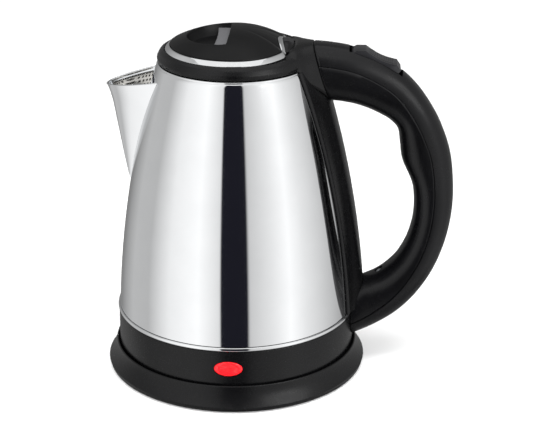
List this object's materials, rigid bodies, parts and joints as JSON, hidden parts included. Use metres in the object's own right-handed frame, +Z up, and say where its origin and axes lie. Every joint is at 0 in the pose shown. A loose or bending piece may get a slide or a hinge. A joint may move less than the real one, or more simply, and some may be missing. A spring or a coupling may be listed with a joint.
{
  "type": "electric kettle",
  "caption": "Cordless electric kettle: tapered polished steel body with V spout, black D handle with rocker switch, hinged lid with finger latch, round 360 degree power base.",
  "frame": {"origin": "on the kettle's axis, in the plane of the power base's lower edge, at the middle of the flat hub under the base; the rubber feet stand 1 mm lower", "axes": "+Z up along the kettle's axis, +X towards the handle, -X towards the spout, +Y to the side where the mains lead enters the base"},
  "size_m": [0.2186, 0.1671, 0.2202],
  "materials": {
    "black_plastic": "moulded black, satin",
    "handle_plastic": "moulded black, fine soft texture",
    "lid_plastic": "moulded black, satin",
    "switch_plastic": "moulded dark grey, ribbed thumb pad",
    "grey_plastic": "moulded grey, satin",
    "dark_plastic": "moulded dark, plain",
    "polished_steel": "stainless sheet polished to a mirror",
    "filter_steel": "stainless sheet, satin",
    "chrome": "bright plated trim",
    "zinc_steel": "zinc plated",
    "brass": "plain contact brass",
    "aluminium": "matt cast",
    "rubber": "soft black rubber",
    "silicone": "translucent white silicone",
    "red_lens": "translucent red lens",
    "lamp_glass": "small neon lamp",
    "phenolic": "heat-proof brown moulding",
    "lead_sleeve": "glass-braid sleeved lead"
  },
  "bodies": {
    "power_base": {"power_base_shell": "black_plastic", "power_base_bottom": "dark_plastic", "base_foot_1": "rubber", "base_foot_2": "rubber", "base_foot_3": "rubber", "base_foot_4": "rubber", "base_screw_1": "zinc_steel", "base_screw_2": "zinc_steel", "base_screw_3": "zinc_steel", "cord_gland": "rubber", "socket_pillar": "dark_plastic", "socket_ring_contact": "brass", "socket_centre_contact": "brass"},
    "turning_ring": {"socket_turning_ring": "grey_plastic"},
    "kettle": {"base_skirt": "black_plastic", "bottom_trim_ring": "chrome", "bottom_cover": "dark_plastic", "indicator_lens": "red_lens", "indicator_lamp": "lamp_glass", "body_shell": "polished_steel", "spout": "polished_steel", "spout_filter": "filter_steel", "base_plate": "filter_steel", "heat_spreader": "aluminium", "heating_element": "zinc_steel", "kettle_connector": "dark_plastic", "thermostat_control": "phenolic", "boil_dry_disc_1": "zinc_steel", "boil_dry_disc_2": "zinc_steel", "element_terminal_1": "brass", "element_terminal_2": "brass", "collar": "black_plastic", "collar_gasket": "silicone", "lid_hinge_pin": "zinc_steel", "handle_outer_shell": "handle_plastic", "handle_inner_cover": "handle_plastic", "handle_spine": "black_plastic", "handle_screw_top": "zinc_steel", "handle_screw_foot": "zinc_steel", "switch_pivot_pin": "zinc_steel", "steam_switch_frame": "phenolic", "lever_pin": "zinc_steel", "steam_bimetal": "brass", "switch_lead": "lead_sleeve", "bottom_screw_1": "zinc_steel", "bottom_screw_2": "zinc_steel", "bottom_screw_3": "zinc_steel"},
    "lid": {"lid_outer": "lid_plastic", "lid_trim_ring": "chrome", "lid_inner": "dark_plastic", "lid_gasket": "silicone", "lid_screw_1": "zinc_steel", "lid_screw_2": "zinc_steel", "latch_spring": "zinc_steel"},
    "latch": {"lid_latch": "grey_plastic"},
    "rocker": {"switch_rocker": "switch_plastic"},
    "lever": {"trip_lever": "phenolic"}
  },
  "joints": [
    {"name": "kettle_turn", "type": "hinge", "parent": "power_base", "child": "turning_ring", "pos_m": [0, 0, 0.0085], "axis": [0, 0, 1], "continuous": true},
    {"name": "kettle_lift", "type": "slide", "parent": "turning_ring", "child": "kettle", "axis": [0, 0, 1], "range_m": [0, 0.06]},
    {"name": "lid_hinge", "type": "hinge", "parent": "kettle", "child": "lid", "pos_m": [0.0318, 0, 0.2078], "axis": [0, 1, 0], "range_deg": [0, 75]},
    {"name": "latch_slide", "type": "slide", "parent": "lid", "child": "latch", "axis": [1, 0, 0], "range_m": [0, 0.003], "stiffness_N_per_m": 300, "springref_m": -0.003},
    {"name": "switch_rock", "type": "hinge", "parent": "kettle", "child": "rocker", "pos_m": [0.087, 0, 0.1955], "axis": [0, 1, 0], "range_deg": [-9, 0]},
    {"name": "lever_swing", "type": "hinge", "parent": "kettle", "child": "lever", "pos_m": [0.089, 0, 0.1848], "axis": [0, 1, 0], "range_deg": [0, 15.5]}
  ],
  "couplings": [
    {"joint": "lever_swing", "follows": "switch_rock", "ratio": -1.7}
  ]
}
